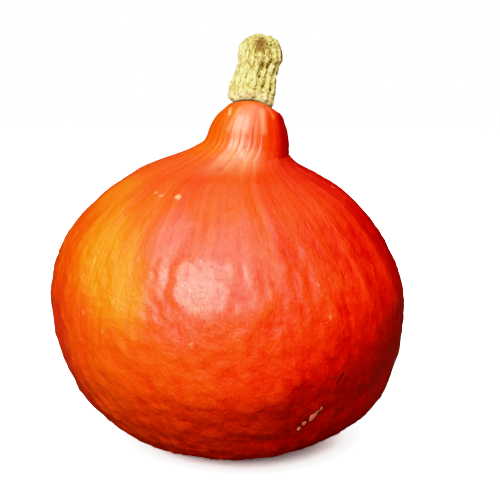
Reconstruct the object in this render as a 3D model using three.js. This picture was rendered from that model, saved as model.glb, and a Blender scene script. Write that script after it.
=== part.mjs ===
import * as THREE from "three";

// A ripe red onion squash: one fruit with a fluted neck, and the dry corky stem that it hung from.
// Millimetres, +Z up, front towards -Y, standing on the plane z = 0 under the middle of the belly.

// Driving dimensions
const bellyRadius = 84.5;
const seatHeight = 168;
const stemLength = 30.5;
const footInner = 10;
const footOuter = 19;
const scarDepth = 2;
const seatRadius = 9.4;
const stemFoot = 9.1;
const seatGap = 0.35;

// The neck stands to the right of the belly's middle, and its top leans right and back, in degrees
const neckSide = 11.9;
const leanRight = 9;
const leanBack = 8;
const neckFoot = 130;

// Rings up the fruit: radius as a share of the belly's, height as a share of the seat's, sideways shift
const flank = [
  [0.285, 0.008, 0.8],
  [0.473, 0.0405, 1.2],
  [0.655, 0.082, 3],
  [0.752, 0.119, 3.6],
  [0.894, 0.215, 2.4],
  [0.983, 0.349, 0.6],
  [0.991, 0.492, -0.6],
  [0.889, 0.622, -2.1],
  [0.721, 0.723, -1.8],
  [0.499, 0.8, -1.3],
  [0.303, 0.849, 3.8],
  [0.234, 0.884, 9.3],
  [0.215, 0.922, 10.2],
  [0.183, 0.969, 12.8],
  [0.15, 0.987, 12.4],
];

// Rings up the stem: radius, height as a share of the stem's length, sideways shift
const stemSide = [
  [9.9, 0.07, -0.1],
  [10.7, 0.15, 0.1],
  [10.3, 0.27, 1.1],
  [9.4, 0.4, 2.1],
  [9.5, 0.55, 3.2],
  [10, 0.68, 3.8],
  [9.2, 0.8, 4],
  [7.2, 0.9, 4.2],
];

// Rings over the stem's worn end: share of the last ring's radius, and rise above it
const crown = [
  [0.75, 1.5],
  [0.4, 2.4],
  [0, 2.7],
];
const crownForward = 12;

// Relief: how many lobes, flutes and ridges, how deep they are, and the lobes' and ridges' turn in radians
const lobes = 5;
const lobeDepth = 0.9;
const lobeTurn = -0.65;
const flutes = 14;
const fluteDepth = 0.4;
const ribDepth = 0.3;
const seatWave = 1.4;
const stemAngles = 5;
const stemAngleDepth = 0.5;
const stemAngleTurn = 0.9;
const stemRidges = 18;
const stemRidgeDepth = 0.45;

// Fineness of the two surfaces
const fruitColumns = 96;
const fruitRows = 42;
const stemColumns = 72;
const stemRows = 16;

const { degToRad, smoothstep } = THREE.MathUtils;
const front = -Math.PI / 2;
const upright = new THREE.Quaternion();

function leaning(right, back) {
  return new THREE.Quaternion().setFromEuler(new THREE.Euler(degToRad(-back), degToRad(right), 0));
}

const seatTilt = leaning(leanRight, leanBack);
const crownTilt = leaning(leanRight / 2, -crownForward);
const seatCentre = new THREE.Vector3(neckSide, 0, seatHeight);

// The seat between fruit and stem is a shallow saddle, high at the front and back and low at both sides
function saddle(angle) {
  return seatWave * Math.cos(2 * (angle - front));
}

function seatLift(radius, angle) {
  return saddle(angle) * (radius / seatRadius) ** 2;
}

function curveThrough(rings, radiusUnit, heightUnit) {
  const points = rings.map(([radius, height, side]) => {
    return new THREE.Vector3(radius * radiusUnit, height * heightUnit, side);
  });
  return new THREE.CatmullRomCurve3(points, false, "catmullrom", 0.5);
}

// A ring of a lofted body: relief swells it along its outward direction, and lift bends it out of its plane
function makeRing(radius, centre, tilt, { relief, outward, lift } = {}) {
  const place = (angle) => {
    const swell = relief ? relief(angle) : 0;
    const [out, up] = outward ?? [1, 0];
    const reach = radius + swell * out;
    const raise = swell * up + (lift ? lift(reach, angle) : 0);
    const point = new THREE.Vector3(reach * Math.cos(angle), reach * Math.sin(angle), raise);
    return point.applyQuaternion(tilt).add(centre);
  };
  return { radius, centre, place };
}

// A closed body through the rings, whose first and last rings are single points
function loft(rings, columns) {
  const points = [rings[0].place(0)];
  const sides = rings.slice(1, -1);
  for (const ring of sides) {
    for (let column = 0; column < columns; column += 1) {
      points.push(ring.place((2 * Math.PI * column) / columns));
    }
  }
  points.push(rings.at(-1).place(0));
  const end = points.length - 1;
  const top = end - columns;
  const faces = [];
  for (let column = 0; column < columns; column += 1) {
    const next = (column + 1) % columns;
    faces.push(0, 1 + next, 1 + column);
    for (let low = 1; low < top; low += columns) {
      const high = low + columns;
      faces.push(low + column, low + next, high + next);
      faces.push(low + column, high + next, high + column);
    }
    faces.push(end, top + column, top + next);
  }
  const geometry = new THREE.BufferGeometry().setFromPoints(points);
  geometry.setIndex(faces);
  geometry.computeVertexNormals();
  return geometry;
}

// Broad lobes round the belly, shallow ribs over the shoulders and flutes up the neck
function fruitRelief(angle, height) {
  const turn = angle - front;
  const belly = smoothstep(height, 4, 40) * (1 - smoothstep(height, 110, 150));
  const shoulder = smoothstep(height, 60, 120) * (1 - smoothstep(height, 135, 150));
  const neck = smoothstep(height, 130, 155) * (1 - 0.6 * smoothstep(height, 155, seatHeight));
  const lobe = 0.6 * Math.cos(lobes * turn + lobeTurn) + 0.4 * Math.cos(3 * turn + 1.1);
  const uneven = 0.35 * Math.sin(3 * turn + 0.6);
  const flute = (0.7 + 0.3 * Math.sin(2 * turn + 0.5)) * Math.cos(flutes * turn + uneven);
  const rib = 0.5 * flute + 0.5 * Math.cos(2 * (flutes * turn + uneven));
  return lobeDepth * belly * lobe + fluteDepth * neck * flute + ribDepth * shoulder * rib;
}

function makeFruit() {
  const rings = [];
  const footRings = [
    [0, scarDepth],
    [0.4 * footInner, 0.9 * scarDepth],
    [0.8 * footInner, 0.4 * scarDepth],
    [footInner, 0],
    [footOuter, 0],
  ];
  for (const [radius, height] of footRings) {
    rings.push(makeRing(radius, new THREE.Vector3(flank[0][2], 0, height), upright));
  }
  const curve = curveThrough(flank, bellyRadius, seatHeight);
  for (let row = 0; row <= fruitRows; row += 1) {
    const { x: radius, y: height, z: side } = curve.getPoint(row / fruitRows);
    const { x: widening, y: rising } = curve.getTangent(row / fruitRows);
    const neckShare = smoothstep(height, neckFoot, seatHeight);
    const tilt = upright.clone().slerp(seatTilt, neckShare);
    const shape = {
      relief: (angle) => fruitRelief(angle, height),
      outward: [rising, -widening],
      lift: (reach, angle) => neckShare ** 4 * saddle(angle),
    };
    rings.push(makeRing(radius, new THREE.Vector3(side, 0, height), tilt, shape));
  }
  for (const share of [1, 0.7, 0.35, 0]) {
    rings.push(makeRing(share * seatRadius, seatCentre, seatTilt, { lift: seatLift }));
  }
  return loft(rings, fruitColumns);
}

// Five blunt angles up the stem, and uneven corky ridges between them
function stemRelief(angle, share) {
  const turn = angle - front;
  const angled = Math.cos(stemAngles * turn + stemAngleTurn + share);
  const uneven = 0.7 + 0.3 * Math.sin(3 * turn + 4 * share);
  const ridged = Math.cos(stemRidges * turn + 0.8 * Math.sin(2 * turn + 3 * share));
  return stemAngleDepth * angled + stemRidgeDepth * uneven * ridged;
}

function makeStem() {
  const base = new THREE.Vector3(0, 0, seatGap).applyQuaternion(seatTilt).add(seatCentre);
  const rings = [];
  for (const share of [0, 0.35, 0.7, 1]) {
    rings.push(makeRing(share * stemFoot, base, seatTilt, { lift: seatLift }));
  }
  const curve = curveThrough(stemSide, 1, 1);
  for (let row = 0; row <= stemRows; row += 1) {
    const { x: radius, y: share, z: side } = curve.getPoint(row / stemRows);
    const centre = base.clone().add(new THREE.Vector3(side, 0, share * stemLength));
    const tilt = seatTilt.clone().slerp(crownTilt, smoothstep(share, 0.1, 0.9));
    const shape = {
      relief: (angle) => stemRelief(angle, share),
      lift: (reach, angle) => (1 - smoothstep(share, 0, 0.4)) * saddle(angle),
    };
    rings.push(makeRing(radius, centre, tilt, shape));
  }
  const rim = rings.at(-1);
  for (const [share, rise] of crown) {
    const centre = new THREE.Vector3(0, 0, rise).applyQuaternion(crownTilt).add(rim.centre);
    const relief = (angle) => share * stemRelief(angle, 1);
    rings.push(makeRing(share * rim.radius, centre, crownTilt, { relief }));
  }
  return loft(rings, stemColumns);
}

function makeMesh(name, geometry, material) {
  const mesh = new THREE.Mesh(geometry, material);
  mesh.name = name;
  return mesh;
}

const rind = new THREE.MeshStandardMaterial({ color: 0xe2450d, roughness: 0.4, metalness: 0 });
const cork = new THREE.MeshStandardMaterial({ color: 0xcdbf82, roughness: 0.85, metalness: 0 });

const group = new THREE.Group();
group.name = "onion_squash";
group.add(makeMesh("fruit", makeFruit(), rind));
group.add(makeMesh("stem", makeStem(), cork));

export default group;
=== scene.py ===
import bpy
import bmesh
import math
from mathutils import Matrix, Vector
from mathutils.bvhtree import BVHTree


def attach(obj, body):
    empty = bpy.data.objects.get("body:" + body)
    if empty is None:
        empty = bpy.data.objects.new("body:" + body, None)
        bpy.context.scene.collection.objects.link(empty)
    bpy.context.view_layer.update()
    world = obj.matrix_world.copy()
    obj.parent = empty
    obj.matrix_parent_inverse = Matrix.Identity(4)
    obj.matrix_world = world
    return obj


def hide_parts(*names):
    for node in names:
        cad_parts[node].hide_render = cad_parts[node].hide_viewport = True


# A ripe red onion squash with its dry corky stem, standing on a pale floor.
# The two pieces are grown in millimetres and shrunk to metres at the end of their trees.

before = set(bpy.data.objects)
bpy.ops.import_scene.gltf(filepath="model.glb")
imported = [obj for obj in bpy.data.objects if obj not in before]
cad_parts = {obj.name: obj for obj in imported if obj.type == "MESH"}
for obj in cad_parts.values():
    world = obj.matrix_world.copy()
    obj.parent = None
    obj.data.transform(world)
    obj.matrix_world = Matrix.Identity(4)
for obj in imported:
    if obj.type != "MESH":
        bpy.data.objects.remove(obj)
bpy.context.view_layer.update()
print("frame loaded:", sorted(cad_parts))

degreesPerRadian = 57.3


def findSocket(sockets, key):
    if isinstance(key, int):
        return sockets[key]
    for socket in sockets:
        if socket.identifier == key:
            return socket
    return sockets[key]


class Wire:
    # One output of a node, and the sums that can be made with it

    def __init__(self, bench, socket):
        self.bench = bench
        self.socket = socket

    def out(self, key):
        return Wire(self.bench, findSocket(self.socket.node.outputs, key))

    def maths(self, operation, first, second=0.0):
        return self.bench.add("ShaderNodeMath", {"operation": operation}, {0: first, 1: second})

    def __add__(self, other):
        return self.maths("ADD", self, other)

    def __radd__(self, other):
        return self.maths("ADD", other, self)

    def __sub__(self, other):
        return self.maths("SUBTRACT", self, other)

    def __rsub__(self, other):
        return self.maths("SUBTRACT", other, self)

    def __mul__(self, other):
        return self.maths("MULTIPLY", self, other)

    def __rmul__(self, other):
        return self.maths("MULTIPLY", other, self)

    def __truediv__(self, other):
        return self.maths("DIVIDE", self, other)

    def __rtruediv__(self, other):
        return self.maths("DIVIDE", other, self)

    def __pow__(self, other):
        return self.maths("POWER", self, other)

    def __neg__(self):
        return self.maths("MULTIPLY", self, -1.0)

    def cos(self):
        return self.maths("COSINE", self)

    def sin(self):
        return self.maths("SINE", self)

    def atLeast(self, other):
        return self.maths("MAXIMUM", self, other)

    def atMost(self, other):
        return self.maths("MINIMUM", self, other)

    # an angle brought back between half a turn either way
    def wrapped(self):
        return self.bench.add("ShaderNodeMath", {"operation": "WRAP"}, {0: self, 1: math.pi, 2: -math.pi})


class Bench:
    # A node tree while it is being wired

    def __init__(self, tree):
        self.tree = tree

    def add(self, kind, settings=None, values=None, out=0):
        node = self.tree.nodes.new(kind)
        for name, setting in (settings or {}).items():
            if name == "stops":
                ramp = node.color_ramp
                while len(ramp.elements) > 1:
                    ramp.elements.remove(ramp.elements[-1])
                ramp.elements[0].position = setting[0][0]
                ramp.elements[0].color = (*setting[0][1], 1)
                for position, colour in setting[1:]:
                    ramp.elements.new(position).color = (*colour, 1)
            else:
                setattr(node, name, setting)
        for key, value in (values or {}).items():
            socket = findSocket(node.inputs, key)
            if isinstance(value, Wire):
                self.tree.links.new(value.socket, socket)
            elif socket.type == "RGBA" and len(value) == 3:
                socket.default_value = (*value, 1)
            else:
                socket.default_value = value
        return Wire(self, findSocket(node.outputs, out)) if node.outputs else node

    # a smooth step from one value to another while the input goes from low to high
    def ease(self, value, low, high, start=0.0, end=1.0):
        sockets = {"Value": value, "From Min": low, "From Max": high, "To Min": start, "To Max": end}
        return self.add("ShaderNodeMapRange", {"interpolation_type": "SMOOTHSTEP"}, sockets)

    # 0, rising to 1 between the first two levels and falling back between the last two
    def band(self, value, start, full, fade, end):
        return self.ease(value, start, full) * self.ease(value, end, fade)

    def vectorMaths(self, operation, first, second=(0, 0, 0), out=0):
        return self.add("ShaderNodeVectorMath", {"operation": operation}, {0: first, 1: second}, out)

    def scaled(self, vector, factor):
        return self.add("ShaderNodeVectorMath", {"operation": "SCALE"}, {0: vector, "Scale": factor})

    def joined(self, x, y, z):
        return self.add("ShaderNodeCombineXYZ", None, {0: x, 1: y, 2: z})

    def parts(self, vector):
        x = self.add("ShaderNodeSeparateXYZ", None, {0: vector})
        return x, x.out(1), x.out(2)

    # noise about zero, roughly from -1 to 1
    def noise(self, vector, scale, detail=2.0, roughness=0.5, distortion=0.0):
        sockets = {
            "Vector": vector,
            "Scale": scale,
            "Detail": detail,
            "Roughness": roughness,
            "Distortion": distortion,
        }
        return self.add("ShaderNodeTexNoise", {"noise_dimensions": "3D"}, sockets) * 4 - 2

    def cells(self, vector, scale, randomness=1.0, feature="F1", out="Distance"):
        sockets = {"Vector": vector, "Scale": scale, "Randomness": randomness}
        return self.add("ShaderNodeTexVoronoi", {"feature": feature}, sockets, out)

    def mixed(self, factor, first, second, blend="MIX"):
        settings = {"data_type": "RGBA", "blend_type": blend}
        sockets = {"Factor_Float": factor, "A_Color": first, "B_Color": second}
        return self.add("ShaderNodeMix", settings, sockets, "Result_Color")

    # 1 on a point and 0 beyond the radius
    def spot(self, place, centre, radius):
        gap = self.vectorMaths("DISTANCE", place, tuple(centre), "Value")
        return self.ease(gap, 0.0, radius, 1.0, 0.0)

    # 1 along the line between two points and 0 beyond the radius
    def streak(self, place, start, end, radius):
        run = end - start
        offset = self.vectorMaths("SUBTRACT", place, tuple(start))
        share = self.vectorMaths("DOT_PRODUCT", offset, tuple(run), "Value") / run.length_squared
        nearest = self.scaled(tuple(run), share.atLeast(0.0).atMost(1.0))
        gap = self.vectorMaths("DISTANCE", offset, nearest, "Value")
        return self.ease(gap, 0.0, radius, 1.0, 0.0)


# A geometry tree with named inputs; returns its bench and a wire for each input
def newShapeTree(name, inputs):
    tree = bpy.data.node_groups.new(name, "GeometryNodeTree")
    for title, kind in inputs.items():
        tree.interface.new_socket(title, in_out="INPUT", socket_type="NodeSocket" + kind)
    tree.interface.new_socket("Geometry", in_out="OUTPUT", socket_type="NodeSocketGeometry")
    bench = Bench(tree)
    first = bench.add("NodeGroupInput")
    return bench, {title: first.out(title) for title in inputs}


# The tree's last nodes: smooth shading, real geometry and the material
def closeTree(bench, geometry, material):
    smooth = bench.add("GeometryNodeSetShadeSmooth", None, {"Geometry": geometry})
    real = bench.add("GeometryNodeRealizeInstances", None, {"Geometry": smooth})
    done = bench.add("GeometryNodeSetMaterial", None, {"Geometry": real, "Material": material})
    bench.add("NodeGroupOutput", None, {0: done})


# Runs a tree on a mesh and returns the result as a plain mesh
def runTree(tree, startMesh, values):
    holder = bpy.data.objects.new("holder", startMesh)
    bpy.context.scene.collection.objects.link(holder)
    modifier = holder.modifiers.new("tree", "NODES")
    modifier.node_group = tree
    for item in tree.interface.items_tree:
        if item.in_out == "INPUT" and item.name in values:
            modifier[item.identifier] = values[item.name]
    depsgraph = bpy.context.evaluated_depsgraph_get()
    mesh = bpy.data.meshes.new_from_object(holder.evaluated_get(depsgraph), depsgraph=depsgraph)
    holder.modifiers.remove(modifier)
    bpy.data.objects.remove(holder)
    return mesh


# A helper curve whose x is the radius, y the sideways shift and z the height, in millimetres
def profileCurve(name, rings):
    curve = bpy.data.curves.new(name, "CURVE")
    curve.dimensions = "3D"
    spline = curve.splines.new("POLY")
    spline.points.add(len(rings) - 1)
    for point, (radius, height, side) in zip(spline.points, rings):
        point.co = (radius, side, height, 1)
    holder = bpy.data.objects.new(name, curve)
    bpy.context.scene.collection.objects.link(holder)
    return holder


# A closed tube from which a body is lofted: its mesh, the turn from the front, the share of the way
# out from the pole, and the profile's place and direction there
def startLoft(bench, columns, rows, profile):
    tube = bench.add(
        "GeometryNodeMeshCylinder",
        {"fill_type": "TRIANGLE_FAN"},
        {"Vertices": columns, "Side Segments": rows, "Fill Segments": 1, "Radius": 1.0, "Depth": 1.0},
    )
    x, y, z = bench.parts(bench.add("GeometryNodeInputPosition"))
    turn = bench.add("ShaderNodeMath", {"operation": "ARCTAN2"}, {0: x, 1: -y})
    pole = (x * x + y * y) ** 0.5
    along = z + 0.5
    settings = {"transform_space": "ORIGINAL"}
    shape = bench.add("GeometryNodeObjectInfo", settings, {"Object": profile}, "Geometry")
    smooth = bench.add("GeometryNodeCurveSplineType", {"spline_type": "CATMULL_ROM"}, {"Curve": shape})
    fine = bench.add("GeometryNodeSetSplineResolution", None, {"Geometry": smooth, "Resolution": 24})
    sockets = {"Curves": fine, "Factor": along}
    sample = bench.add("GeometryNodeSampleCurve", {"mode": "FACTOR"}, sockets, "Position")
    stored = bench.add(
        "GeometryNodeStoreNamedAttribute",
        {"data_type": "FLOAT_VECTOR", "domain": "POINT"},
        {"Geometry": tube, "Name": "around", "Value": bench.joined(turn.sin(), turn.cos(), along)},
    )
    return stored, turn, pole, sample, sample.out("Tangent")


# Leans a point right and then back, in degrees
def leanOver(bench, vector, right, back):
    sockets = {"Vector": vector, "Angle": right * math.radians(1)}
    toRight = bench.add("ShaderNodeVectorRotate", {"rotation_type": "Y_AXIS"}, sockets)
    sockets = {"Vector": toRight, "Angle": back * math.radians(-1)}
    return bench.add("ShaderNodeVectorRotate", {"rotation_type": "X_AXIS"}, sockets)


# The camera

cameraSizes = {
    "lens": 90,
    "elevation": 14,
    "distance": 0.597,
    "target": (0.01085, 0, 0.0967),
}


def placeCamera():
    camera = bpy.data.cameras.new("camera")
    camera.lens = cameraSizes["lens"]
    camera.sensor_width = 36
    holder = bpy.data.objects.new("camera", camera)
    lift = math.radians(cameraSizes["elevation"])
    back = Vector((0, -math.cos(lift), math.sin(lift)))
    holder.location = Vector(cameraSizes["target"]) + back * cameraSizes["distance"]
    holder.rotation_euler = (-back).to_track_quat("-Z", "Y").to_euler()
    bpy.context.scene.collection.objects.link(holder)
    bpy.context.scene.camera = holder


placeCamera()


# The fruit

fruitSettings = {
    # the turn, in degrees, at which the rind is reddest, and the middle of the seat
    "reddest turn": 95,
    "seat": (11.9, 0, 166.8),
    "form": {
        "Columns": 384,
        "Rows": 246,
        "Neck foot": 130.0,
        "Seat height": 168.0,
        "Seat radius": 9.4,
        "Seat wave": 1.4,
        "Lean right": 9.0,
        "Lean back": 8.0,
        "Lobe depth": 0.9,
        "Flute depth": 0.3,
        "Rib depth": 0.3,
        "Neck hollow": 1.6,
        "Neck fullness": 0.9,
        "Foot fullness": 0.05,
        "Fillet fullness": 0.45,
        "Slope depth": 0.5,
    },
    # radius, height, sideways shift
    "rings": [
        (1, 2, 0.8),
        (4, 1.8, 0.8),
        (8, 0.8, 0.8),
        (10, 0, 0.8),
        (14.5, 0, 0.8),
        (19, 0, 0.8),
        (24.1, 1.35, 0.8),
        (40, 6.5, 1.2),
        (54, 12.8, 2.2),
        (64, 19.8, 3),
        (70.7, 27, 3),
        (76.2, 37, 2),
        (83.1, 58.6, 0.6),
        (83.7, 82.7, -0.6),
        (75.1, 104.5, -2.1),
        (60.9, 121.5, -1.8),
        (42.2, 134.4, -1.3),
        (25.8, 142.6, 4),
        (22.3, 145.2, 6.6),
        (19.3, 148.5, 9),
        (17.6, 154.9, 10),
        (15.8, 160, 11.1),
        (14.1, 163.2, 12.5),
        (12.5, 165.2, 12.8),
        (10.9, 166.3, 12.3),
        (9.9, 166.7, 11.9),
        (9, 166.8, 11.9),
        (5, 166.8, 11.9),
        (1, 166.8, 11.9),
    ],
    "relief": {
        "Roll depth": 0.5,
        "Fold depth": 0.45,
        "Grain depth": 0.5,
        "Dimple depth": 0.55,
        "Inset": 0.55,
        "Low fullness": 0.6,
        "Scar radius": 9.0,
    },
    # Where the rind is marked: turn, height, and then sizes in millimetres
    "marks": {
        # pale raised scabs: radius, how pale
        "scabs": [
            (-23.5, 131.4, 1.5, 0.9),
            (-38.5, 131.8, 0.9, 0.5),
            (-33.8, 131.1, 1.0, 0.5),
            (-47.2, 87.6, 1.0, 0.7),
            (-47.8, 82.7, 1.1, 0.8),
            (-39.8, 76.8, 0.9, 0.9),
            (-35.5, 90.4, 1.0, 0.25),
            (81, 128.9, 1.1, 0.8),
            (31.8, 97.6, 1.0, 0.6),
            (60.5, 98.6, 1.1, 0.25),
            (33.8, 84.2, 1.1, 0.3),
            (-10.0, 76.5, 1.5, 0.5),
            (128, 92, 1.5, 0.8),
            (151, 118, 1.2, 0.7),
            (-112, 61, 1.6, 0.8),
            (-141, 104, 1.1, 0.7),
            (-168, 77, 1.4, 0.8),
        ],
        # dark pits: radius
        "pits": [
            (-8.2, 75.8, 0.9),
            (-3, 141, 1.6),
            (-7, 111.4, 1.0),
            (1, 108.6, 0.8),
            (3.7, 101.5, 0.7),
            (22.5, 55.5, 0.8),
            (112, 70, 0.8),
            (-125, 99, 0.9),
        ],
        # dents that run down the belly, or swellings where the depth is below zero:
        # start turn, start height, end turn, end height, half width, depth
        "dents": [
            (-12.0, 121, -16.6, 110, 4.8, 0.4),
            (-17.2, 107, -17.0, 97, 5.0, 0.16),
            (-23.5, 121, -22.0, 113, 4.5, -0.36),
            (4.4, 108, 2.8, 99, 5.0, -0.3),
            (2.8, 99, 0.6, 90, 5.0, -0.3),
            (-21, 95, -20, 86, 4.6, 0.25),
            (7.2, 119, 6.2, 103, 1.7, 0.42),
            (13.6, 104.5, 13, 97.5, 1.8, 0.4),
            (4.6, 100, 3.2, 90, 2.0, 0.15),
            (20, 121, 24, 104, 2.6, 0.2),
            (-1, 145.5, 0.5, 139, 3.2, 0.5),
            (118, 112, 124, 92, 4.0, 0.4),
            (-150, 120, -156, 98, 4.0, 0.4),
        ],
        # places where the relief is calmer: radius, how much calmer
        "calm places": [
            (-5, 95, 33, 0.75),
            (-27, 97, 18, 0.6),
        ],
        # where the light catches the fine relief, and where the wax is thickest: radius
        "lit place": (-8, 98, 34),
        "waxy place": (-14, 98, 26),
        # places where the gloss is weaker: radius, how much weaker
        "less glossy places": [
            (-30, 98, 18, 0.6),
            (-42, 137, 22, 0.45),
            (38, 128, 20, 0.3),
            (-52, 104, 20, 0.3),
        ],
        # the healed scar, the dabs on it with their radius, and a dark scratch above it
        "scar": [(31.3, 42.2), (30.6, 41.0), (29.6, 39.9), (29.3, 38.4), (27.2, 36.4)],
        "dabs": [(28.4, 38.2, 2.4), (29.6, 39.6, 1.9), (25.2, 35.0, 2.0), (23.6, 32.8, 1.7)],
        "scratch": [(37.6, 57.5), (35.7, 53.0)],
        "scar half width": 2.2,
        "scratch half width": 1.4,
        # lines on the neck, dark where the strength is below zero:
        # start turn, start height, end turn, end height, half width, strength
        "neck lines": [
            (-1.2, 155, -1.8, 149.5, 0.6, -0.65),
            (-1.8, 149.5, -6, 143.5, 0.6, -0.5),
            (7, 158, 8, 151, 0.5, -0.5),
            (-50, 165.8, -43, 163.6, 1.6, 0.7),
            (-28, 166, -30, 157, 2.2, 0.35),
            (15.5, 165, 24, 156, 2.2, 0.35),
            (30, 166, 42, 162, 1.4, 0.35),
            (140, 162, 150, 150, 2.0, 0.35),
            (-150, 160, -156, 148, 2.0, 0.35),
        ],
    },
    "colours": {
        "orange": (0.91, 0.115, 0.006),
        "redOrange": (0.90, 0.080, 0.008),
        "red": (0.85, 0.040, 0.004),
        "deepRed": (0.62, 0.010, 0.001),
        "amber": (0.94, 0.21, 0.009),
        "paleAmber": (0.95, 0.31, 0.035),
        "pale": (0.95, 0.36, 0.16),
        # pink is the colour of the painted glare
        "pink": (0.92, 0.17, 0.19),
        "scab": (0.90, 0.42, 0.20),
        "cork": (0.74, 0.26, 0.14),
        "scar": (0.86, 0.25, 0.16),
        "dark": (0.10, 0.012, 0.004),
        # this darkens the pits in their own colour, and the cracks partly as painted shade
        "darkStainAndShade": (0.50, 0.010, 0.002),
        # the colour of the painted shade
        "paintedShade": (0.22, 0.021, 0.002),
    },
    # Where the rind stayed amber: turn, height, half width, half height, slant in degrees a millimetre,
    # strength
    "amber patches": [
        (-43, 103, 18.5, 30, 0.4, 0.92),
        (-72, 128, 16, 11, 0.0, 0.65),
        (-160, 66, 40, 26, 0.2, 0.5),
    ],
    # Where it is paler, and where a pink glare is painted on as a highlight: turn, height, half width in
    # degrees, half height, strength
    "pale patch": (-29, 97, 7, 19, 0.14),
    "painted glare patches": [
        (-19, 117, 9, 10, 0.22),
        (2, 106, 11, 14, 0.15),
        (-13, 82, 7, 9, 0.06),
    ],
}


# where a point stands among the neck's flutes, and among the stem's ridges
def flutePhase(turn):
    return turn * 14 + (turn * 3 + 0.6).sin() * 0.35


def ridgePhase(turn, share):
    return turn * 18 + (turn * 2 + share * 3).sin() * 0.8


def fruitFormTree():
    kinds = {title: "Int" if title in ("Columns", "Rows") else "Float" for title in fruitSettings["form"]}
    bench, size = newShapeTree("fruitForm", {"Profile": "Object", **kinds})
    tube, turn, pole, ring, rise = startLoft(bench, size["Columns"], size["Rows"], size["Profile"])
    radius, side, height = bench.parts(ring)
    widening, _, rising = bench.parts(rise)

    # broad lobes round the belly, shallow ribs over the shoulders and flutes up the neck
    belly = bench.ease(height, 4, 40) * bench.ease(height, 110, 150, 1, 0)
    shoulder = bench.ease(height, 60, 120) * bench.ease(height, 135, 150, 1, 0)
    neck = bench.ease(height, 130, 155) * bench.ease(height, 155, 168, 1, 0.4)
    lobe = (turn * 5 - 0.65).cos() * 0.6 + (turn * 3 + 1.1).cos() * 0.4
    phase = flutePhase(turn)
    flute = ((turn * 2 + 0.5).sin() * 0.3 + 0.7) * phase.cos()
    flute = flute * bench.ease(turn.cos(), 0.72, 0.95, 1.0, 0.5)
    rib = flute * 0.5 + (phase * 2).cos() * 0.5
    swell = size["Lobe depth"] * belly * lobe + size["Flute depth"] * neck * flute
    swell = swell + size["Rib depth"] * shoulder * rib

    # the neck is hollow in front and full on the right, and its foot runs out in a fillet
    hollow = bench.band(height, 135, 142, 143.5, 149) * (turn.cos() * 0.5 + 0.5) ** 2
    full = bench.band(height, 140, 147, 156, 165) * (turn.sin() * 0.55 + 0.6)
    foot = bench.band(height, 136, 142, 146, 151) * bench.ease(turn.sin(), -0.2, -0.8)
    right = bench.ease(turn.sin(), 0.2, 0.85)
    fillet = bench.band(height, 140.2, 142.8, 142.8, 146.5) * right
    slope = bench.band(height, 132, 137, 138.5, 141.5) * right
    swell = swell - hollow * size["Neck hollow"] + full * size["Neck fullness"]
    swell = swell + foot * size["Foot fullness"]
    swell = swell + fillet * size["Fillet fullness"] - slope * size["Slope depth"]
    swell = swell * bench.ease(radius, 8.5, 12.5)

    neckShare = bench.ease(height, size["Neck foot"], size["Seat height"])
    reach = (radius + swell * rising) * pole
    inSeat = (reach / size["Seat radius"]).atMost(1) ** 2
    lift = neckShare ** 4 * size["Seat wave"] * (turn * 2).cos() * inSeat
    point = bench.joined(reach * turn.sin(), -(reach * turn.cos()), lift - swell * widening)
    leaned = leanOver(bench, point, size["Lean right"] * neckShare, size["Lean back"] * neckShare)
    x, y, z = bench.parts(bench.vectorMaths("ADD", leaned, bench.joined(side, 0.0, height)))
    place = bench.scaled(bench.joined(x, y, z.atLeast(0)), 0.001)
    placed = bench.add("GeometryNodeSetPosition", None, {"Geometry": tube, "Position": place})
    bench.add("NodeGroupOutput", None, {0: placed})
    return bench.tree


def growFruitForm():
    profile = profileCurve("fruitProfile", fruitSettings["rings"])
    values = {"Profile": profile, **fruitSettings["form"]}
    mesh = runTree(fruitFormTree(), bpy.data.meshes.new("start"), values)
    bpy.data.objects.remove(profile)
    return mesh


fruitForm = growFruitForm()
print("fruit's form grown:", len(fruitForm.polygons), "faces")

fruitTouch = BVHTree.FromPolygons(
    [vertex.co for vertex in fruitForm.vertices], [tuple(face.vertices) for face in fruitForm.polygons]
)


# A place on the rind, in millimetres: turn is in degrees to the right of the front
def onRind(turn, height):
    side = [ring for ring in fruitSettings["rings"] if ring[1] <= height][-1][2]
    angle = math.radians(turn)
    start = Vector((side, 0, height)) * 0.001
    spot, _, _, _ = fruitTouch.ray_cast(start, Vector((math.sin(angle), -math.cos(angle), 0)))
    return spot * 1000


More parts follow.
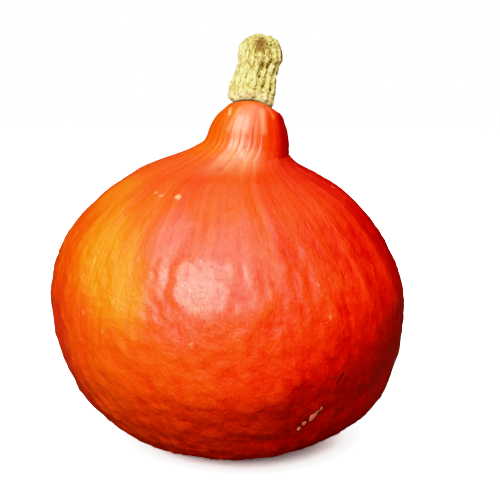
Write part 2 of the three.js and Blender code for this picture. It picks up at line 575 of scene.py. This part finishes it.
def rindTree(material):
    kinds = {title: "Float" for title in fruitSettings["relief"]}
    bench, size = newShapeTree("rindRelief", {"Geometry": "Geometry", **kinds})
    marks = fruitSettings["marks"]
    around = bench.add(
        "GeometryNodeInputNamedAttribute", {"data_type": "FLOAT_VECTOR"}, {"Name": "around"}, "Attribute"
    )
    place = bench.scaled(bench.add("GeometryNodeInputPosition"), 1000.0)
    x, y, height = bench.parts(place)
    sine, cosine, along = bench.parts(around)
    meridian = bench.joined(sine, cosine, along * 0.2)

    # slow rolls, ribs that run from the neck down the belly, and leathery dimples on its lower half
    roll = bench.noise(bench.joined(x, y, height * 0.55), 0.045, 2.0, 0.5) * bench.ease(height, 150, 125)
    grain = bench.noise(meridian, 7.5, 3.0, 0.6) * bench.ease(height, 20, 100, 0.35, 1.0)
    grain = grain * bench.ease(height, 166, 150, 0.0, 0.6)
    skin = bench.joined(sine * 80, cosine * 80, along * 190 + sine * 8)
    dimple = bench.noise(skin, 0.2, 4.0, 0.6, 0.4) * bench.ease(height, 142, 92, 0.0, 1.0)
    fold = bench.noise(skin, 0.1, 2.0, 0.5, 0.6) * bench.ease(height, 140, 100, 0.1, 1.0)
    relief = roll * size["Roll depth"] + grain * size["Grain depth"] + dimple * size["Dimple depth"]
    relief = (relief + fold * size["Fold depth"]) * bench.ease(sine, 0.5, 0.95, 1.0, 0.7)
    for calmTurn, calmHeight, radius, strength in marks["calm places"]:
        relief = relief * (1 - bench.spot(place, onRind(calmTurn, calmHeight), radius) * strength)
    for turnA, heightA, turnB, heightB, width, depth in marks["dents"]:
        relief = relief - bench.streak(place, onRind(turnA, heightA), onRind(turnB, heightB), width) * depth
    relief = relief - size["Inset"] * bench.ease(height, 130, 110)
    relief = relief * bench.ease(height, 1.5, 9) * bench.ease(along, 0.93, 0.97, 1.0, 0.0)
    stored = bench.add(
        "GeometryNodeStoreNamedAttribute",
        {"data_type": "FLOAT", "domain": "POINT"},
        {"Geometry": size["Geometry"], "Name": "swell", "Value": relief},
    )

    # rough ground round the blossom scar, inside the ring that the fruit stands on
    out = (x * x + y * y) ** 0.5
    crust = bench.noise(place, 0.7, 3.0, 0.6) * bench.ease(out, size["Scar radius"], 5, 0.0, 0.18)
    full = bench.band(height, 24, 36, 46, 72) + bench.band(height, 1.5, 9, 12, 18) * 0.6
    outward = relief + full * size["Low fullness"] + crust * bench.ease(height, 6, 3)
    offset = bench.scaled(bench.add("GeometryNodeInputNormal"), outward * 0.001)
    moved = bench.add("GeometryNodeSetPosition", None, {"Geometry": stored, "Offset": offset})
    u, v, w = bench.parts(bench.add("GeometryNodeInputPosition"))
    grounded = bench.joined(u, v, w.atLeast(0))
    settled = bench.add("GeometryNodeSetPosition", None, {"Geometry": moved, "Position": grounded})
    closeTree(bench, settled, material)
    return bench.tree


def newMaterial(name):
    material = bpy.data.materials.new(name)
    material.use_nodes = True
    material.node_tree.nodes.clear()
    return material, Bench(material.node_tree)


def rindMaterial():
    material, bench = newMaterial("rind")
    tone = fruitSettings["colours"]
    marks = fruitSettings["marks"]
    place = bench.scaled(bench.add("ShaderNodeTexCoord", None, None, "Object"), 1000.0)
    x, y, height = bench.parts(place)
    around = bench.add("ShaderNodeAttribute", {"attribute_name": "around"}, None, "Vector")
    sine, cosine, along = bench.parts(around)
    turn = bench.add("ShaderNodeMath", {"operation": "ARCTAN2"}, {0: sine, 1: cosine})

    broad = bench.noise(bench.joined(sine, cosine, along * 0.25), 3.2, 3.0, 0.5)
    streaks = bench.noise(bench.joined(sine, cosine, along * 0.16), 11.0, 4.0, 0.6)
    threads = bench.noise(bench.joined(sine, cosine, along * 0.07), 34.0, 3.0, 0.6)
    mottle = bench.noise(place, 0.12, 4.0, 0.6)

    # orange on the left turning to deep red on the right, the darkest red at the far right partly painted
    # shade
    reddest = math.radians(fruitSettings["reddest turn"])
    redness = (sine * math.sin(reddest) + cosine * math.cos(reddest)) * 0.5 + 0.5
    swell = bench.add("ShaderNodeAttribute", {"attribute_name": "swell"}, None, "Fac")
    low = bench.ease(height, 75, 15)
    redness = redness + broad * 0.05 + streaks * 0.07 + threads * 0.045 + mottle * 0.05
    # redder towards the bottom and in the hollows of the relief, paler on its swellings: partly the rind's
    # own colour, partly painted shade
    redness = redness + low * 0.07 - swell * 0.2 - 0.02
    leftEdge = bench.ease(turn, -0.75, -1.15) * bench.ease(turn, -3.0, -1.9)
    redness = redness + leftEdge * bench.ease(height, 108, 76) * 0.48
    lowFront = bench.ease(height, 85, 50) * bench.ease(turn, -0.35, 0.1, 0.035, 0.1)
    redness = redness + lowFront * bench.ease(turn, 3.0, 2.0, 0.35, 1.0)
    drawn = (streaks * 0.12 + threads * 0.08) * bench.ease(height, 96, 130) * bench.ease(height, 160, 148)
    redness = redness + drawn * bench.ease(sine, 0.2, -0.3, 1.0, 2.0)
    rightFlank = bench.ease(sine, 0.0, 0.5) * bench.ease(height, 60, 90) * bench.ease(height, 140, 125)
    redness = redness - rightFlank * 0.09
    shoulder = bench.band(height, 116, 134, 142, 150) * bench.ease(sine, 0.2, -0.5)
    redness = redness + shoulder * bench.ease(height, 126, 138, 0.16, 0.42)
    # on the neck the right side is redder as painted shade, the whole neck a little paler as a painted
    # sheen, and the left side redder in its own colour
    neckTintAndPaintedShade = bench.ease(sine, 0.3, 0.9) * 0.13 - 0.08 + bench.ease(sine, -0.2, -0.8) * 0.22
    redness = redness + bench.ease(height, 142, 152) * neckTintAndPaintedShade
    stops = [(0.05, tone["orange"]), (0.45, tone["redOrange"]), (0.78, tone["red"]), (0.99, tone["deepRed"])]
    base = bench.add("ShaderNodeValToRGB", {"stops": stops}, {0: redness})

    # amber where the sun did not reach, drawn out along the meridians
    amber = None
    for patchTurn, patchHeight, width, tall, slant, strength in fruitSettings["amber patches"]:
        middle = (height - patchHeight) * math.radians(-slant) + math.radians(patchTurn)
        across = (turn - middle).wrapped() / math.radians(width)
        up = (height - patchHeight) / tall
        gap = (across * across + up * up) ** 0.5 + streaks * 0.2 + threads * 0.14 + mottle * 0.12
        patch = bench.ease(gap, 0.35, 1.15, strength, 0.0)
        amber = patch if amber is None else amber.atLeast(patch)
    colour = bench.mixed(amber, base, tone["amber"])
    lines = bench.ease(threads + streaks * 0.6, 0.1, 1.0)
    neckLines = bench.ease(height, 125, 142) * bench.ease(height, 160, 146, 0.3, 1.0) * 0.2
    colour = bench.mixed(lines * (amber * 0.6 + neckLines), colour, tone["paleAmber"])

    # the squared distance from a patch, as a share of its half width and half height
    def awayFrom(patchTurn, patchHeight, width, tall):
        across = (turn * degreesPerRadian - patchTurn) / width
        return across ** 2 + ((height - patchHeight) / tall) ** 2

    *patch, strength = fruitSettings["pale patch"]
    pale = bench.ease(awayFrom(*patch) + streaks * 0.3, 1.7, 0.1)
    colour = bench.mixed(pale * strength, colour, tone["paleAmber"])
    # painted highlight: a pink glare mixed into the rind's colour
    for *patch, strength in fruitSettings["painted glare patches"]:
        paintedGlare = bench.ease(awayFrom(*patch) + streaks * 0.3, 1.6, 0.1)
        colour = bench.mixed(paintedGlare * strength, colour, tone["pink"])

    # painted highlight: the neck's foot is paler at the front
    foot = bench.band(height, 137, 142.5, 144, 151) * bench.ease(cosine, 0.82, 0.98)
    colour = bench.mixed(foot * bench.ease(threads + streaks, -0.9, 0.6, 0.15, 0.4), colour, tone["pale"])

    # furrows on the neck keep pale lines
    furrow = bench.ease(flutePhase(turn).cos() + streaks * 0.35, -0.55, -1.1)
    neck = bench.ease(height, 140, 150) * bench.ease(height, 167.5, 165, 0.2, 1.0)
    furrow = furrow * neck * bench.ease(broad + streaks, -0.6, 1.2)
    colour = bench.mixed(furrow * 0.22, colour, tone["paleAmber"])
    dry = 0.0
    for turnA, heightA, turnB, heightB, width, strength in marks["neck lines"]:
        line = bench.streak(place, onRind(turnA, heightA), onRind(turnB, heightB), width)
        dry = line + dry if strength < 0 else dry
        colour = bench.mixed(line * abs(strength), colour, tone["pale"] if strength > 0 else tone["dark"])

    # height of the fine relief, in millimetres
    pores = bench.cells(bench.joined(x, y, height * 1.2), 0.75)
    pores = bench.ease(pores, 0.0, 0.32, 1.0, 0.0) * bench.ease(bench.noise(place, 0.35, 2.0), -0.2, 0.6)
    skin = bench.joined(sine * 80, cosine * 80, along * 230 + sine * 8)
    fine = bench.noise(skin, 1.6, 3.0, 0.6)
    leather = bench.noise(skin, 0.5, 5.0, 0.66, 0.3) * bench.ease(height, 148, 138, 0.15, 1.0)
    bent = bench.vectorMaths("ADD", place, bench.scaled(leather, 1.2))
    crackle = bench.cells(bent, 0.42, 1.0, "DISTANCE_TO_EDGE")
    crackle = bench.ease(crackle, 0.0, 0.07, 1.0, 0.0) * bench.ease(leather, -0.5, 0.6)
    litTurn, litHeight, radius = marks["lit place"]
    lit = bench.spot(place, onRind(litTurn, litHeight), radius)
    coarse = bench.ease(height, 78, 96, 0.19, 0.26) + lit * 0.12
    tall = leather * coarse * bench.ease(sine, 0.45, 0.8, 1.0, 0.8)
    tall = tall + fine * bench.ease(height, 150, 138, 0.0, 0.04)
    tall = tall + threads * bench.ease(height, 150, 130, 0.015, 0.06)
    tall = tall - pores * 0.06 - crackle * (lit * 0.18 + 0.05)

    # hairline cracks show dark on the upper belly, darkest where the light catches the relief: partly their
    # own colour, partly painted shade in the cracks
    cracked = bench.band(height, 66, 84, 118, 136) * bench.ease(sine, -0.5, -0.36)
    colour = bench.mixed(crackle * cracked * (lit * 0.35 + 0.1), colour, tone["darkStainAndShade"])

    # painted shade: the underside is darker, most of all on the right, and so is the right side of the neck
    rise = turn.atLeast(0).atMost(1.25)
    above = height - rise * rise * 18 - 32
    paintedUnderShade = bench.band(above, -8, 0, 6, 30)
    paintedUnderShade = paintedUnderShade * bench.ease(turn, 0.25, 0.7, 1.0, 0.74) * bench.ease(turn, -0.9, 0.2, 0.15, 1.0)
    paintedUnderShade = paintedUnderShade * bench.ease(turn, 2.8, 1.5) * bench.ease(turn, -2.9, -1.9)
    colour = bench.mixed(paintedUnderShade * 0.6, colour, tone["paintedShade"])
    shaded = bench.ease(height, 138, 146) * bench.ease(sine, 0.5, 0.95)
    colour = bench.mixed(shaded * 0.22, colour, tone["paintedShade"])

    tremble = bench.add("ShaderNodeTexNoise", None, {"Vector": place, "Scale": 0.9, "Detail": 3.0}, "Color")
    tremble = bench.scaled(bench.vectorMaths("SUBTRACT", tremble, (0.5, 0.5, 0.5)), 3.0)
    shaken = bench.vectorMaths("ADD", place, tremble)
    for scabTurn, scabHeight, radius, strength in marks["scabs"]:
        centre = onRind(scabTurn, scabHeight)
        blot = bench.spot(shaken, centre, radius * 1.7)
        colour = bench.mixed(bench.ease(blot, 0.15, 0.8) * (strength * 0.8), colour, tone["scab"])
        tall = tall + bench.spot(shaken, centre, radius * 2.2) * 0.3
    for pitTurn, pitHeight, radius in marks["pits"]:
        blot = bench.spot(shaken, onRind(pitTurn, pitHeight), radius * 1.8)
        colour = bench.mixed(blot * 0.55, colour, tone["darkStainAndShade"])
        tall = tall - blot * 0.12

    def lineOf(trail, width):
        points = [onRind(turn, height) for turn, height in trail]
        found = None
        for start, end in zip(points, points[1:]):
            piece = bench.streak(shaken, start, end, width)
            found = piece if found is None else found.atLeast(piece)
        return found

    ragged = bench.noise(place, 1.3, 3.0, 0.6) * 0.12
    scar = lineOf(marks["scar"], marks["scar half width"])
    for dabTurn, dabHeight, radius in marks["dabs"]:
        scar = scar.atLeast(bench.spot(place, onRind(dabTurn, dabHeight), radius * 1.6))
    colour = bench.mixed(bench.ease(scar + ragged, 0.1, 0.4) * 0.7, colour, tone["dark"])
    colour = bench.mixed(bench.ease(scar + ragged, 0.5, 0.68), colour, tone["scar"])
    tall = tall + bench.ease(scar + ragged, 0.45, 0.8) * 0.4
    scratch = bench.ease(lineOf(marks["scratch"], marks["scratch half width"]) + ragged, 0.3, 0.7)
    colour = bench.mixed(scratch * 0.8, colour, tone["dark"])
    tall = tall - scratch * 0.25

    # the blossom scar underneath and the dark line where the stem sits
    out = ((x - 0.8) * (x - 0.8) + y * y) ** 0.5
    blossom = bench.ease(out + mottle * 0.8, 9.5, 7.5) * bench.ease(height, 12, 8)
    colour = bench.mixed(blossom, colour, tone["cork"])
    fromSeat = bench.vectorMaths("DISTANCE", place, fruitSettings["seat"], "Value")
    colour = bench.mixed(bench.ease(fromSeat + ragged * 2.0, 11.3, 10.7), colour, tone["dark"])

    rough = 0.48 + leather * 0.03 + amber * 0.03 + bench.ease(scar, 0.4, 0.7) * 0.3 + blossom * 0.4
    waxyTurn, waxyHeight, radius = marks["waxy place"]
    waxy = bench.spot(place, onRind(waxyTurn, waxyHeight), radius)
    wax = bench.ease(height, 138, 150, 0.68, 0.66) - blossom * 0.6 + waxy * 0.2
    for dullTurn, dullHeight, radius, strength in marks["less glossy places"]:
        wax = wax * (1 - bench.spot(place, onRind(dullTurn, dullHeight), radius) * strength)
    uneven = leather * 0.28 + fine * 0.2 - crackle * 0.9 - pores * 0.4
    wax = wax * (1 - dry * 0.8) * (1 + uneven * lit)
    normal = bench.add("ShaderNodeBump", None, {"Strength": 1.0, "Distance": 0.001, "Height": tall})
    sockets = {
        "Base Color": colour,
        "Roughness": rough,
        "Normal": normal,
        "IOR": 1.5,
        "Coat Weight": wax,
        "Coat Roughness": 0.31,
    }
    surface = bench.add("ShaderNodeBsdfPrincipled", None, sockets)
    bench.add("ShaderNodeOutputMaterial", None, {"Surface": surface})
    return material


rind = rindMaterial()
fruitMesh = runTree(rindTree(rind), fruitForm, fruitSettings["relief"])
print("rind wrinkled:", len(fruitMesh.polygons), "faces")


# The stem

stemSettings = {
    "form": {
        "Columns": 320,
        "Rows": 290,
        "Length": 30.5,
        "Seat radius": 9.4,
        "Seat wave": 1.4,
        "Lean right": 9.0,
        "Lean back": 8.0,
        "Crown forward": 12.0,
        "Angle depth": 0.5,
        "Ridge depth": 0.36,
    },
    # the place in the middle of the seat, the gap over it, and the height from which the crown closes
    "base": (11.9, 0.0, 168.0),
    "gap": 0.35,
    "shoulder": 27.1,
    # radius, height, sideways shift
    "rings": [
        (0.4, -1.2, 0),
        (4, -1.2, 0),
        (7.6, -1.2, 0),
        (9.1, -1.1, 0),
        (10.1, 0.9, -0.1),
        (10.7, 4.0, 0.1),
        (10.3, 8.2, 1.1),
        (9.4, 12.2, 2.1),
        (9.5, 16.8, 3.2),
        (10, 20.7, 3.8),
        (9.2, 24.4, 4),
        (7.3, 27.1, 4.3),
        (5.5, 28.5, 4.3),
        (3.0, 29.2, 4.3),
        (0.4, 29.4, 4.3),
    ],
    "relief": {
        "Groove depth": 0.5,
        "Lump depth": 0.45,
        "Grain depth": 0.16,
        "Pit depth": 0.6,
        "Collar depth": 0.45,
        "Knot height": 0.3,
    },
    # where the stem is marked: place, and radius in millimetres
    "marks": {
        "shade": ((17.5, -9, 188), 9.0),
        "worn front": ((16, -6, 193.5), 6.5),
        "blot": ((20.3, -9.5, 184.0), 2.2),
        "hole": ((16.0, -3.4, 198.1), 2.6),
        # a brown streak over the crown: start, end, half width
        "streak": ((15.9, -4.5, 197.6), (15.6, -8.2, 193.0), 3.2),
        # the knot left by a dead tendril: turn in degrees, share of the length, half width in radians,
        # half height as a share of the length
        "knot": (84, 0.70, 0.34, 0.17),
    },
    "colours": {
        "cream": (0.62, 0.53, 0.20),
        "pale": (0.76, 0.68, 0.34),
        "olive": (0.27, 0.21, 0.04),
        "moss": (0.42, 0.35, 0.06),
        "rust": (0.20, 0.12, 0.022),
        "tan": (0.66, 0.40, 0.14),
        "brown": (0.17, 0.075, 0.022),
        "pit": (0.045, 0.030, 0.008),
    },
}


def stemFormTree():
    kinds = {title: "Int" if title in ("Columns", "Rows") else "Float" for title in stemSettings["form"]}
    bench, size = newShapeTree("stemForm", {"Profile": "Object", **kinds})
    tube, turn, pole, ring, _ = startLoft(bench, size["Columns"], size["Rows"], size["Profile"])
    radius, side, height = bench.parts(ring)
    share = height / size["Length"]
    shoulder = stemSettings["shoulder"]

    # five blunt angles up the stem, and uneven ridges between them
    angled = (turn * 5 + 0.9 + share).cos()
    uneven = (turn * 3 + share * 4).sin() * 0.3 + 0.7
    ridged = ridgePhase(turn, share).cos()
    swell = size["Angle depth"] * angled + size["Ridge depth"] * uneven * ridged
    swell = swell * bench.ease(height, -1.1, 1.1) * bench.ease(height, shoulder, 29.4, 1.0, 0.0)

    reach = (radius + swell) * pole
    inSeat = (reach / size["Seat radius"]).atMost(1) ** 2
    lift = bench.ease(share, 0, 0.4, 1.0, 0.0) * size["Seat wave"] * (turn * 2).cos() * inSeat
    raised = lift + (height - shoulder).atLeast(0)
    upShare = bench.ease(share, 0.1, 0.9)
    point = bench.joined(reach * turn.sin(), -(reach * turn.cos()), raised)
    right = size["Lean right"] * (1 - upShare * 0.5)
    back = size["Lean back"] * (1 - upShare) - size["Crown forward"] * upShare
    leaned = leanOver(bench, point, right, back)
    centre = bench.joined(side, 0.0, height.atMost(shoulder))
    gap = (0, 0, stemSettings["gap"])
    base = leanOver(bench, gap, size["Lean right"], size["Lean back"])
    place = bench.vectorMaths("ADD", bench.vectorMaths("ADD", leaned, centre), base)
    place = bench.scaled(bench.vectorMaths("ADD", place, stemSettings["base"]), 0.001)
    stored = bench.add(
        "GeometryNodeStoreNamedAttribute",
        {"data_type": "FLOAT", "domain": "POINT"},
        {"Geometry": tube, "Name": "share", "Value": share},
    )
    placed = bench.add("GeometryNodeSetPosition", None, {"Geometry": stored, "Position": place})
    bench.add("NodeGroupOutput", None, {0: placed})
    return bench.tree


def corkTree(material):
    kinds = {title: "Float" for title in stemSettings["relief"]}
    bench, size = newShapeTree("corkRelief", {"Geometry": "Geometry", **kinds})
    around = bench.add(
        "GeometryNodeInputNamedAttribute", {"data_type": "FLOAT_VECTOR"}, {"Name": "around"}, "Attribute"
    )
    kind = {"data_type": "FLOAT"}
    share = bench.add("GeometryNodeInputNamedAttribute", kind, {"Name": "share"}, "Attribute")
    place = bench.scaled(bench.add("GeometryNodeInputPosition"), 1000.0)
    x, y, z = bench.parts(place)
    sine, cosine, _ = bench.parts(around)
    turn = bench.add("ShaderNodeMath", {"operation": "ARCTAN2"}, {0: sine, 1: cosine})
    side = bench.ease(share, 0.1, 0.2) * bench.ease(share, 0.93, 0.8)
    onTop = bench.ease(share, 0.82, 0.93)

    # narrow grooves that wander between the ridges
    wander = bench.noise(bench.joined(sine * 2, cosine * 2, share * 2.2), 1.6, 3.0, 0.6)
    phase = ridgePhase(turn, share) + wander * 2.2
    groove = (0.5 - phase.cos() * 0.5) ** 3
    broken = bench.noise(bench.joined(sine * 5, cosine * 5, share * 4), 1.4, 2.0)
    broken = bench.ease(broken, -0.5, 0.6, 0.18, 1.0)
    grooves = groove * broken * side
    lump = bench.noise(bench.joined(x, y, z * 0.8), 0.42, 3.0, 0.55)
    grain = bench.noise(bench.joined(x, y, z * 0.5), 1.4, 2.0, 0.5)

    # pits strung along the grooves, and worn holes in the crown
    bent = bench.vectorMaths("ADD", bench.joined(x, y, z * 0.6), bench.scaled(grain, 0.35))
    holes = bench.ease(bench.cells(bent, 0.95, 1.0), 0.5, 0.12)
    pits = holes * bench.ease(grooves + wander * 0.25, 0.1, 0.55) * side
    worn = bench.ease(bench.cells(place, 0.46, 1.0) + grain * 0.08, 0.4, 0.12) * onTop
    pits = pits.atLeast(worn)

    # a scalloped collar with a crease above it
    lobe = (turn * 11 + wander * 2.6).cos()
    collar = bench.ease(share, -0.02, 0.025) * bench.ease(share, 0.12, 0.07)
    level = share + 0.03 + wander * 0.012 + lobe * 0.008
    crease = bench.band(level, 0.11, 0.15, 0.15, 0.19) * bench.ease(lump, -0.3, 0.6, 0.15, 1.0)

    # the knot at the right, left by a dead tendril
    knotTurn, knotShare, knotWidth, knotHeight = stemSettings["marks"]["knot"]
    away = (turn - math.radians(knotTurn)) / knotWidth
    level = (share - knotShare) / knotHeight
    knot = bench.ease((away * away + level * level) ** 0.5, 1.0, 0.25)

    relief = lump * size["Lump depth"] * bench.ease(share, 0.02, 0.12) * (onTop * 0.6 + 1)
    relief = relief + grain * size["Grain depth"]
    relief = relief - grooves * size["Groove depth"] - pits * size["Pit depth"]
    relief = relief + collar * (0.25 + lobe * size["Collar depth"]) - crease * 0.45
    relief = relief + knot * size["Knot height"]
    relief = relief * bench.ease(share, -0.038, -0.01)
    for title, field in {"pits": pits.atLeast(crease * 0.55), "grooves": grooves, "knot": knot}.items():
        size["Geometry"] = bench.add(
            "GeometryNodeStoreNamedAttribute",
            {"data_type": "FLOAT", "domain": "POINT"},
            {"Geometry": size["Geometry"], "Name": title, "Value": field},
        )
    offset = bench.scaled(bench.add("GeometryNodeInputNormal"), relief * 0.001)
    moved = bench.add("GeometryNodeSetPosition", None, {"Geometry": size["Geometry"], "Offset": offset})
    closeTree(bench, moved, material)
    return bench.tree


def corkMaterial():
    material, bench = newMaterial("stemCork")
    tone = stemSettings["colours"]
    marks = stemSettings["marks"]
    place = bench.scaled(bench.add("ShaderNodeTexCoord", None, None, "Object"), 1000.0)
    x, y, z = bench.parts(place)

    def stored(name):
        return bench.add("ShaderNodeAttribute", {"attribute_name": name}, None, "Fac")

    share = stored("share")
    pits, grooves, knot = stored("pits"), stored("grooves"), stored("knot")
    blotches = bench.noise(bench.joined(x, y, z * 0.7), 0.22, 3.0, 0.6)
    fibres = bench.noise(bench.joined(x, y, z * 0.22), 1.3, 4.0, 0.65)
    speck = bench.noise(place, 2.2, 3.0, 0.6)

    colour = bench.mixed(bench.ease(fibres, -0.8, 1.0), tone["cream"], tone["pale"])
    colour = bench.mixed(bench.ease(blotches + fibres * 0.3, 0.35, 1.2) * 0.55, colour, tone["tan"])
    mossy = bench.noise(bench.joined(x, y, z * 0.6), 0.9, 4.0, 0.65)
    colour = bench.mixed(bench.ease(mossy, -0.1, 0.7) * 0.65, colour, tone["moss"])
    dusk = bench.noise(bench.joined(x, y, z * 0.35), 0.75, 3.0, 0.6)
    shade = bench.spot(place, *marks["shade"]) * 0.55 + 0.42
    shade = shade + bench.ease(share, 0.74, 0.9) * 0.6
    colour = bench.mixed(bench.ease(dusk + shade, 0.4, 1.1) * 0.75, colour, tone["olive"])
    colour = bench.mixed(bench.ease(grooves + speck * 0.1, 0.08, 0.6) * 0.6, colour, tone["olive"])
    collar = bench.ease(share, 0.10, 0.05)
    colour = bench.mixed(collar * bench.ease(dusk, 1.0, 0.0, 0.5, 0.95), colour, tone["pale"])

    # the crown is weathered, more so towards the front
    front = bench.ease(bench.spot(place, *marks["worn front"]) + blotches * 0.15 + speck * 0.1, 0.05, 0.7)
    colour = bench.mixed(front * bench.ease(mossy, -0.8, 0.8, 0.35, 1.0), colour, tone["rust"])
    colour = bench.mixed(bench.spot(place, *marks["blot"]) * 0.8, colour, tone["brown"])
    start, end, width = marks["streak"]
    hollowed = bench.streak(place, Vector(start), Vector(end), width)
    hollowed = bench.ease(hollowed + speck * 0.3 + mossy * 0.2, 0.2, 0.85)
    colour = bench.mixed(hollowed * 0.75, colour, tone["brown"])
    colour = bench.mixed(bench.spot(place, *marks["hole"]) * 0.9, colour, tone["pit"])
    colour = bench.mixed(bench.ease(knot + speck * 0.15, 0.2, 0.6), colour, tone["brown"])
    colour = bench.mixed(bench.ease(pits + speck * 0.1, 0.25, 0.8) * 0.75, colour, tone["pit"])

    tall = speck * 0.012 + fibres * 0.025 - bench.ease(pits, 0.1, 0.6) * 0.1
    rough = 0.82 + speck * 0.05 - knot * 0.2
    normal = bench.add("ShaderNodeBump", None, {"Strength": 1.0, "Distance": 0.001, "Height": tall})
    sockets = {"Base Color": colour, "Roughness": rough, "Normal": normal, "IOR": 1.4}
    surface = bench.add("ShaderNodeBsdfPrincipled", None, sockets)
    bench.add("ShaderNodeOutputMaterial", None, {"Surface": surface})
    return material


def growStem():
    profile = profileCurve("stemProfile", stemSettings["rings"])
    values = {"Profile": profile, **stemSettings["form"]}
    form = runTree(stemFormTree(), bpy.data.meshes.new("start"), values)
    bpy.data.objects.remove(profile)
    return runTree(corkTree(corkMaterial()), form, stemSettings["relief"])


stemMesh = growStem()
print("stem grown:", len(stemMesh.polygons), "faces")


# A finished piece takes the place of its plain solid
def setPiece(name, mesh, node):
    piece = bpy.data.objects.new(name, mesh)
    bpy.context.scene.collection.objects.link(piece)
    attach(piece, "root")
    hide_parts(node)


setPiece("rindedFruit", fruitMesh, "fruit")
setPiece("corkyStem", stemMesh, "stem")
print("pieces set")


# Floor, light and colour

roomSizes = {
    "floor radius": 3.0,
    "floor fades from": 0.35,
    "floor fades to": 1.1,
    "key": {"turn": -20.5, "elevation": 34, "distance": 1.2, "size": 0.81, "watts": 14.6, "shape": "DISK"},
    "wide": {"turn": 9, "elevation": 51, "distance": 1.4, "size": 1.8, "watts": 14.8, "shape": "SQUARE"},
    "fill": {"turn": 45, "elevation": 60, "distance": 1.5, "size": 1.2, "watts": 3.2, "shape": "SQUARE"},
    "top": {"turn": 180, "elevation": 88, "distance": 1.5, "size": 1.1, "watts": 2.0, "shape": "SQUARE"},
    "back": {"turn": 180, "elevation": 30, "distance": 1.5, "size": 1.0, "watts": 9.0, "shape": "SQUARE"},
    "sky": 0.19,
    "sky dims in gloss": 0.8,
    # the floor's colour as it lights the fruit, as the fruit mirrors it, and as the camera sees it
    "floor colour": (0.2, 0.175, 0.15),
    "floor mirrored": (0.1, 0.08, 0.065),
    "floor seen": (3.5, 3.5, 3.5),
    "light aim": (0, 0, 0.085),
    # how light in the scene becomes light in the render: a soft shoulder, and a toe that deepens the reds
    "tone points": [
        (0.022, 0.001),
        (0.034, 0.005),
        (0.046, 0.0135),
        (0.067, 0.037),
        (0.09, 0.068),
        (0.176, 0.17),
        (0.31, 0.345),
        (0.485, 0.57),
        (0.66, 0.75),
        (0.85, 0.865),
        (1.05, 0.915),
        (1.3, 0.945),
        (1.42, 0.965),
    ],
    "tone white": 1.5,
}


def layFloor():
    mesh = bpy.data.meshes.new("floor")
    shape = bmesh.new()
    bmesh.ops.create_circle(shape, cap_ends=True, segments=96, radius=roomSizes["floor radius"])
    shape.to_mesh(mesh)
    shape.free()
    floor = bpy.data.objects.new("floor", mesh)
    bpy.context.scene.collection.objects.link(floor)
    material, bench = newMaterial("paleFloor")
    place = bench.add("ShaderNodeTexCoord", None, None, "Object")
    out = bench.vectorMaths("LENGTH", place, (0, 0, 0), "Value")
    seen = bench.add("ShaderNodeLightPath", None, None, "Is Camera Ray")
    mirrored = bench.add("ShaderNodeLightPath", None, None, "Is Glossy Ray")
    colour = bench.mixed(mirrored, roomSizes["floor colour"], roomSizes["floor mirrored"])
    colour = bench.mixed(seen, colour, roomSizes["floor seen"])
    matt = bench.add("ShaderNodeBsdfDiffuse", None, {"Color": colour})
    clear = bench.add("ShaderNodeBsdfTransparent")
    fade = bench.ease(out, roomSizes["floor fades from"], roomSizes["floor fades to"])
    surface = bench.add("ShaderNodeMixShader", None, {0: fade, 1: matt, 2: clear})
    bench.add("ShaderNodeOutputMaterial", None, {"Surface": surface})
    mesh.materials.append(material)


def setLight(name):
    size = roomSizes[name]
    light = bpy.data.lights.new(name, "AREA")
    light.shape = size["shape"]
    light.size = size["size"]
    light.energy = size["watts"]
    holder = bpy.data.objects.new(name, light)
    turn = math.radians(size["turn"])
    lift = math.radians(size["elevation"])
    away = Vector((math.sin(turn) * math.cos(lift), -math.cos(turn) * math.cos(lift), math.sin(lift)))
    holder.location = Vector(roomSizes["light aim"]) + away * size["distance"]
    holder.rotation_euler = (-away).to_track_quat("-Z", "Y").to_euler()
    holder.visible_camera = False
    bpy.context.scene.collection.objects.link(holder)
    return holder


def setTone():
    white = roomSizes["tone white"]
    view = bpy.context.scene.view_settings
    view.view_transform = "Standard"
    view.use_curve_mapping = True
    mapping = view.curve_mapping
    mapping.white_level = (white, white, white)
    for light, shown in roomSizes["tone points"]:
        mapping.curves[3].points.new(light / white, shown)
    mapping.update()


def setLights():
    setLight("key")
    setLight("wide")
    setLight("fill").visible_glossy = False
    setLight("top")
    setLight("back").visible_glossy = False
    world = bpy.data.worlds.new("studio")
    bpy.context.scene.world = world
    world.use_nodes = True
    world.node_tree.nodes.clear()
    bench = Bench(world.node_tree)
    _, _, up = bench.parts(bench.add("ShaderNodeTexCoord", None, None, "Generated"))
    seen = bench.add("ShaderNodeLightPath", None, None, "Is Camera Ray")
    mirrored = bench.add("ShaderNodeLightPath", None, None, "Is Glossy Ray")
    sky = bench.ease(up, -0.2, 0.9, 0.25, 1.4) * roomSizes["sky"]
    sky = sky * (1 - mirrored * roomSizes["sky dims in gloss"])
    dim = bench.add("ShaderNodeBackground", None, {"Color": (1, 1, 1), "Strength": sky})
    sockets = {"Color": (1, 1, 1), "Strength": roomSizes["tone white"]}
    white = bench.add("ShaderNodeBackground", None, sockets)
    both = bench.add("ShaderNodeMixShader", None, {0: seen, 1: dim, 2: white})
    bench.add("ShaderNodeOutputWorld", None, {"Surface": both})


layFloor()
setLights()
setTone()
print("room lit")
